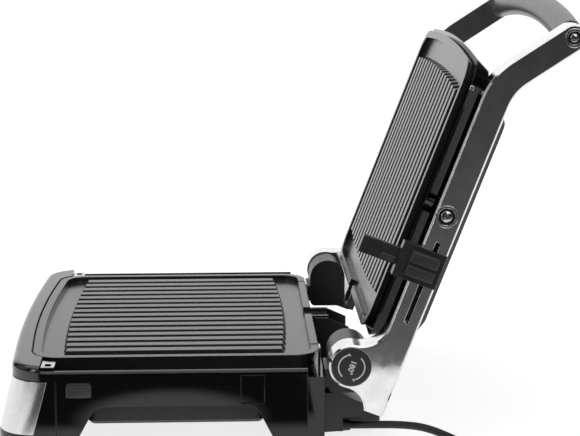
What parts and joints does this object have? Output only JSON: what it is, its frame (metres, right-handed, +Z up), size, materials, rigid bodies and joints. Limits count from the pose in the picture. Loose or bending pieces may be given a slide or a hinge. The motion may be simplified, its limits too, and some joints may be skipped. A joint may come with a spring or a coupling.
{
  "type": "electric contact grill",
  "caption": "Countertop contact grill with two ribbed plates, a floating lid on side arms that opens flat, a bowed handle, a drip tray and a mains lead",
  "frame": {"origin": "table level under the middle of the grill's outline, lid half open", "axes": "+X to the side with the height slide, -Y to the front, +Z up"},
  "size_m": [0.4842, 0.5318, 0.3672],
  "materials": {
    "nonstick_plate": "dark satin non-stick coating on cast aluminium",
    "gloss_black": "moulded gloss black",
    "satin_black": "moulded satin black",
    "button_grey": "moulded dark grey",
    "brushed_panel": "brushed along its length",
    "cast_arm": "satin die casting",
    "grip_grey": "satin grey",
    "bright_steel": "bright turned steel",
    "tray_sheet": "pressed bright sheet",
    "heater_sheath": "dull sheathed tube",
    "lamp_lens": "translucent red and green lens",
    "black_rubber": "soft black"
  },
  "bodies": {
    "base": {"base_shell": "gloss_black", "front_panel": "brushed_panel", "front_trim": "gloss_black", "lower_heat_tray": "tray_sheet", "lower_heating_element": "heater_sheath", "hinge_bracket_right": "satin_black", "hinge_bracket_left": "satin_black", "bottom_cover": "satin_black", "drain_chute": "satin_black", "cord_guard": "satin_black", "hinge_pin_right": "bright_steel", "hinge_pin_left": "bright_steel", "thermostat": "heater_sheath", "indicator_lamps": "lamp_lens", "front_plate_catches": "bright_steel", "rear_plate_tabs": "bright_steel", "rubber_feet": "black_rubber", "base_screws": "bright_steel", "cord_bush": "black_rubber", "power_cord": "black_rubber", "cord_coil": "black_rubber", "cord_tie": "black_rubber", "plug_body": "black_rubber", "plug_pins": "bright_steel"},
    "arms": {"arm_right": "cast_arm", "arm_left": "cast_arm", "handle_grip": "grip_grey", "handle_bolts": "bright_steel", "hinge_cap": "button_grey"},
    "lid": {"lid_frame": "gloss_black", "lid_cover": "satin_black", "upper_heat_tray": "tray_sheet", "upper_heating_element": "heater_sheath", "lid_pivot_bolts": "bright_steel", "lid_pivot_spacers": "bright_steel"},
    "lower_plate": {"lower_plate": "nonstick_plate"},
    "upper_plate": {"upper_plate": "nonstick_plate"},
    "height_slide": {"height_slide": "satin_black"},
    "hinge_button": {"hinge_button": "button_grey"},
    "lower_release_button": {"lower_release_button": "button_grey"},
    "upper_release_button": {"upper_release_button": "button_grey"},
    "drip_tray": {"drip_tray": "satin_black"},
    "thermostat_knob": {"thermostat_knob": "satin_black"}
  },
  "joints": [
    {"name": "lid_hinge", "type": "hinge", "parent": "base", "child": "arms", "pos_m": [0, 0.053, 0.08], "axis": [-1, 0, 0], "range_deg": [-111, 69]},
    {"name": "lid_float", "type": "hinge", "parent": "arms", "child": "lid", "pos_m": [0, 0.12798, 0.20278], "axis": [1, 0, 0], "range_deg": [0, 4]},
    {"name": "height_slide_travel", "type": "slide", "parent": "arms", "child": "height_slide", "axis": [0, 0.3584, 0.9336], "range_m": [-0.03, 0]},
    {"name": "hinge_button_press", "type": "slide", "parent": "arms", "child": "hinge_button", "axis": [-1, 0, 0], "range_m": [0, 0.003], "stiffness_N_per_m": 800, "springref_m": -0.002},
    {"name": "lower_release_press", "type": "slide", "parent": "base", "child": "lower_release_button", "axis": [-1, 0, 0], "range_m": [0, 0.0025], "stiffness_N_per_m": 800, "springref_m": -0.002},
    {"name": "upper_release_press", "type": "slide", "parent": "lid", "child": "upper_release_button", "axis": [0, -0.9278, -0.373], "range_m": [0, 0.0025], "stiffness_N_per_m": 800, "springref_m": -0.002},
    {"name": "drip_tray_slide", "type": "slide", "parent": "base", "child": "drip_tray", "axis": [0, -1, 0], "range_m": [-0.07, 0]},
    {"name": "thermostat_turn", "type": "hinge", "parent": "base", "child": "thermostat_knob", "pos_m": [0, -0.23438, 0.045], "axis": [0, 0.9696, -0.2446], "range_deg": [0, 270]},
    {"name": "lower_plate_lift", "type": "slide", "parent": "base", "child": "lower_plate", "axis": [0, 0, 1], "range_m": [0, 0.05]},
    {"name": "upper_plate_lift", "type": "slide", "parent": "lid", "child": "upper_plate", "axis": [0, -0.9336, 0.3584], "range_m": [0, 0.05]}
  ]
}
